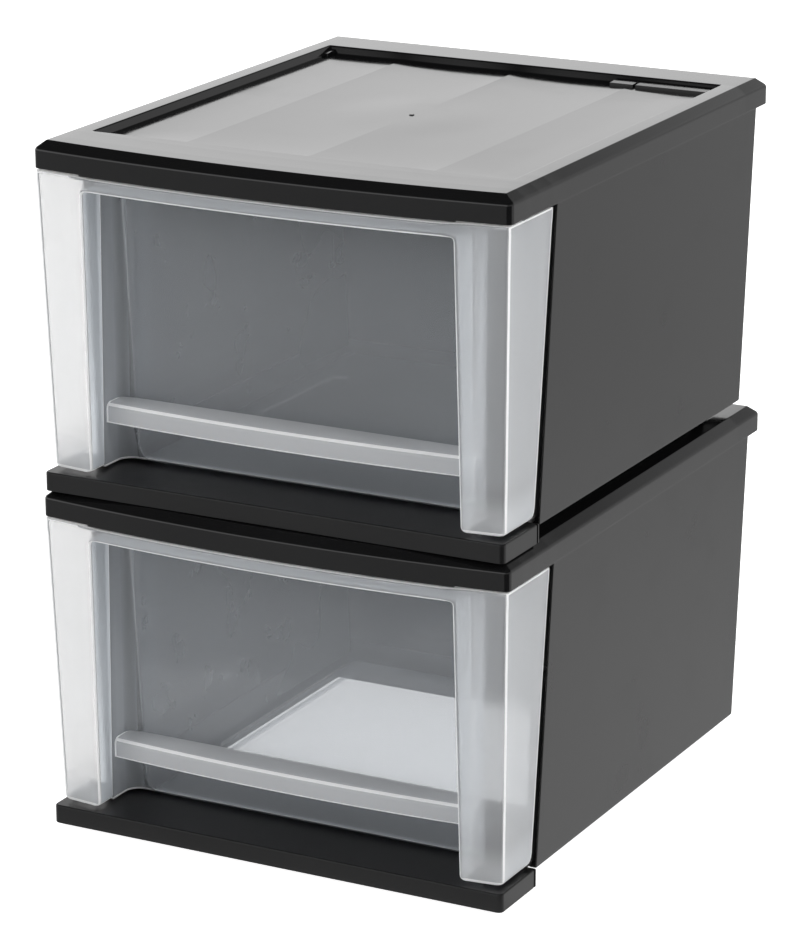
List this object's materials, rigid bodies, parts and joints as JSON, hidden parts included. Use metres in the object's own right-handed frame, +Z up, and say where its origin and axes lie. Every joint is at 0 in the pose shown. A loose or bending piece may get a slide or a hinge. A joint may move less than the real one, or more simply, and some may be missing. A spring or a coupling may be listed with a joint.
{
  "type": "stackable drawer box",
  "caption": "Stacked drawer boxes with glossy black cases, clear pull-out tubs behind frosted window frames and tops recessed to locate the box above.",
  "frame": {"origin": "centre of the stack's footprint, on the surface it stands on", "axes": "+Z up, front of the drawers towards -Y, +X to the right seen from the front"},
  "size_m": [0.3036, 0.366, 0.4187],
  "materials": {
    "case_black": "glossy moulded polystyrene, opaque black",
    "drawer_clear": "clear moulded polypropylene, slightly milky",
    "drawer_frosted": "frosted translucent moulded polypropylene"
  },
  "bodies": {
    "lower_case": {"lower_top_cover": "case_black", "lower_side_walls": "case_black", "lower_base_frame": "case_black"},
    "lower_drawer": {"lower_drawer_tub": "drawer_clear", "lower_drawer_front": "drawer_frosted"},
    "upper_case": {"upper_top_cover": "case_black", "upper_side_walls": "case_black", "upper_base_frame": "case_black"},
    "upper_drawer": {"upper_drawer_tub": "drawer_clear", "upper_drawer_front": "drawer_frosted"}
  },
  "joints": [
    {"name": "lower_drawer_slide", "type": "slide", "parent": "lower_case", "child": "lower_drawer", "axis": [0, -1, 0], "range_m": [0, 0.23]},
    {"name": "upper_box_lift", "type": "slide", "parent": "lower_case", "child": "upper_case", "axis": [0, 0, 1], "range_m": [0, 0.12]},
    {"name": "upper_drawer_slide", "type": "slide", "parent": "upper_case", "child": "upper_drawer", "axis": [0, -1, 0], "range_m": [0, 0.23]}
  ]
}
